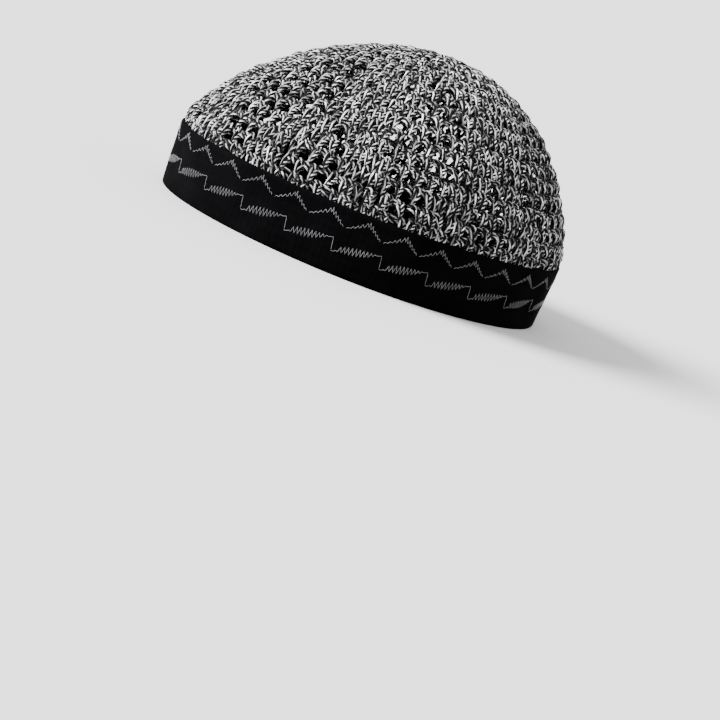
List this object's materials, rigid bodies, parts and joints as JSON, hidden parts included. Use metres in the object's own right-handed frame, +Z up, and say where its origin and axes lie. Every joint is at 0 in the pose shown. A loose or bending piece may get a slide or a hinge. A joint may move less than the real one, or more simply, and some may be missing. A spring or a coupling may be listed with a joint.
{
  "type": "crocheted chechia skull cap",
  "caption": "Rounded openwork skull cap crocheted in black and white marled yarn, on a folded black cloth headband with light grey embroidery.",
  "frame": {"origin": "centre of the bounding box, on the plane that the band rests on", "axes": "+Z up through the crown, +Y towards the back of the head, +X towards the wearer's left"},
  "size_m": [0.158, 0.207, 0.1105],
  "materials": {
    "marled_yarn": "matte crocheted yarn, one black and one white strand twisted together",
    "black_cotton_knit": "matte cotton knit with light grey machine embroidery"
  },
  "bodies": {
    "root": {"crown": "marled_yarn", "band": "black_cotton_knit"}
  },
  "joints": []
}
